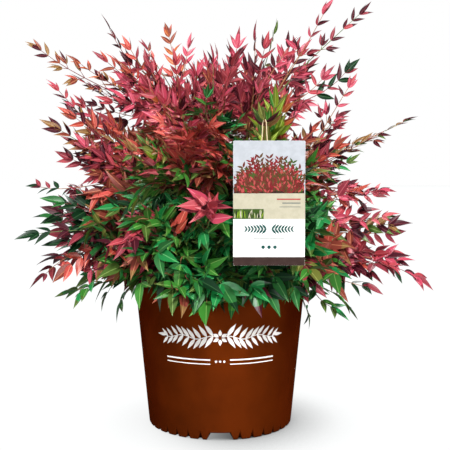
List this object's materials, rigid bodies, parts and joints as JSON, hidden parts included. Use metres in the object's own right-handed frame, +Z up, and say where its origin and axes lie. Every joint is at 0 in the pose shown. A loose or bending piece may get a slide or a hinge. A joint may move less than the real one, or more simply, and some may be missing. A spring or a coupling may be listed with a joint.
{
  "type": "potted heavenly bamboo shrub",
  "caption": "Bushy multi-stemmed evergreen shrub with feathery red and green leaves, in a round tapered nursery pot with a hanging tag.",
  "frame": {"origin": "centre of the pot's flat underside, on the surface that the pot stands on", "axes": "+Z up along the pot's axis; -Y towards the side with the hanging tag; +X to the right seen from that side"},
  "size_m": [0.5666, 0.462, 0.5765],
  "materials": {
    "pot_plastic": "satin",
    "potting_mix": "matte",
    "bark": "matte",
    "foliage": "satin",
    "tag_card": "satin",
    "tag_strap": "satin"
  },
  "bodies": {
    "root": {"pot": "pot_plastic", "soil": "potting_mix", "cane_1": "bark", "cane_2": "bark", "cane_3": "bark", "cane_4": "bark", "cane_5": "bark", "cane_6": "bark", "cane_7": "bark", "foliage_droop_1": "foliage", "foliage_droop_2": "foliage", "foliage_droop_3": "foliage", "foliage_droop_4": "foliage", "foliage_droop_5": "foliage", "foliage_droop_6": "foliage", "foliage_droop_7": "foliage", "foliage_waist_1": "foliage", "foliage_waist_2": "foliage", "foliage_waist_3": "foliage", "foliage_waist_4": "foliage", "foliage_waist_5": "foliage", "foliage_waist_6": "foliage", "foliage_waist_7": "foliage", "foliage_shoulder_1": "foliage", "foliage_shoulder_2": "foliage", "foliage_shoulder_3": "foliage", "foliage_shoulder_4": "foliage", "foliage_shoulder_5": "foliage", "foliage_shoulder_6": "foliage", "foliage_top_1": "foliage", "foliage_top_2": "foliage", "foliage_top_3": "foliage", "foliage_top_4": "foliage", "foliage_top_5": "foliage", "bough_droop_1": "bark", "bough_droop_2": "bark", "bough_droop_3": "bark", "bough_droop_4": "bark", "bough_droop_5": "bark", "bough_droop_6": "bark", "bough_droop_7": "bark", "bough_waist_1": "bark", "bough_waist_2": "bark", "bough_waist_3": "bark", "bough_waist_4": "bark", "bough_waist_5": "bark", "bough_waist_6": "bark", "bough_waist_7": "bark", "bough_shoulder_1": "bark", "bough_shoulder_2": "bark", "bough_shoulder_3": "bark", "bough_shoulder_4": "bark", "bough_shoulder_5": "bark", "bough_shoulder_6": "bark", "tag_card": "tag_card", "tag_loop": "tag_strap"}
  },
  "joints": []
}
